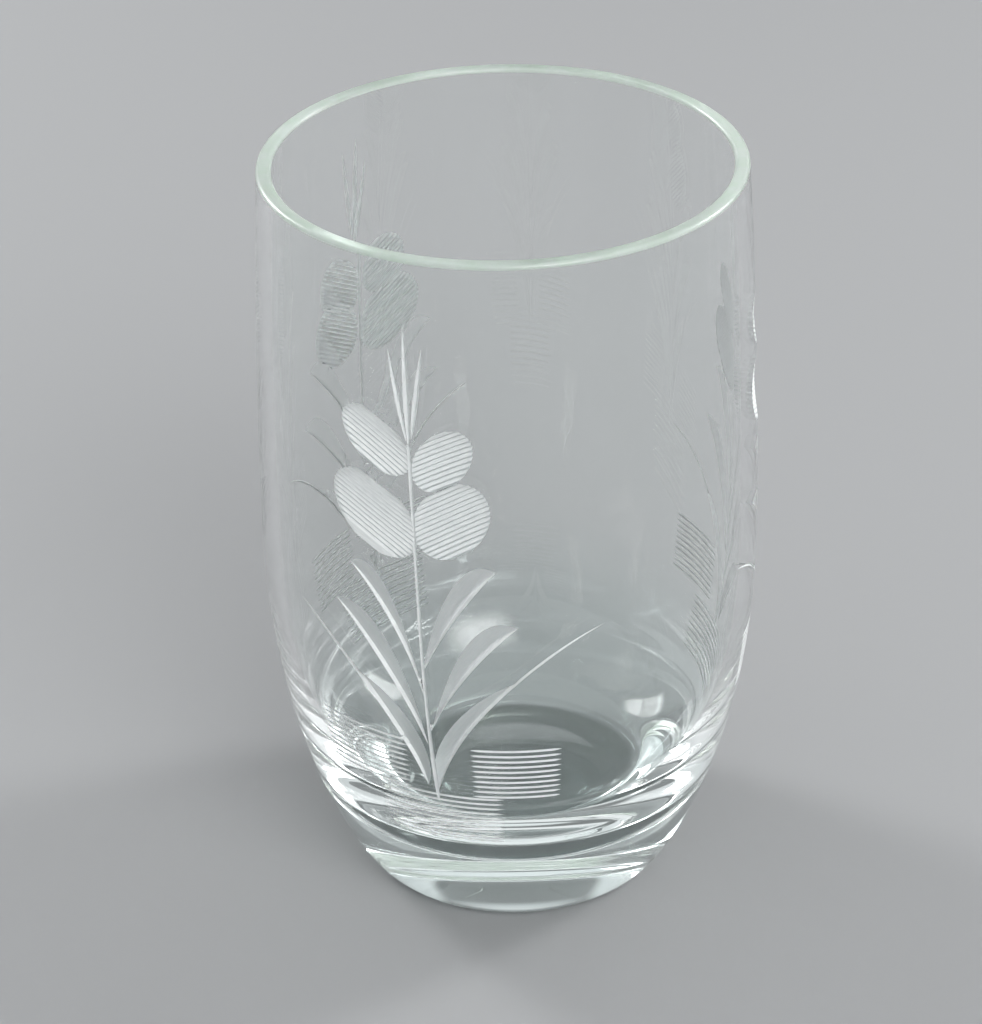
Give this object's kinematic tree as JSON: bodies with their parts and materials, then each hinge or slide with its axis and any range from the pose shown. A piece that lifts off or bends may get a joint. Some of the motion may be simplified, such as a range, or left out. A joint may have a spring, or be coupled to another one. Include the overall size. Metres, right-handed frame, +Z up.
{
  "type": "pint glass",
  "caption": "Barrel-shaped drinking glass with a thick solid base, a slightly narrowed rim and frosted wheel-cut flower sprays round the side.",
  "frame": {"origin": "centre of the foot, on the surface that the glass stands on", "axes": "+Z up along the glass's axis; the first flower spray is 21 degrees to the left of -Y, seen from -Y"},
  "size_m": [0.0834, 0.0834, 0.13],
  "materials": {
    "clear_glass": "clear, polished",
    "rim_glass": "pale green, softly ground and fire-polished lip",
    "ground_glass": "white, frosted by the cutting wheel"
  },
  "bodies": {
    "root": {"base": "clear_glass", "wall": "clear_glass", "rim": "rim_glass", "cut_petals": "ground_glass", "cut_leaves": "ground_glass", "cut_stems": "ground_glass", "cut_base_lines": "ground_glass"}
  },
  "joints": []
}
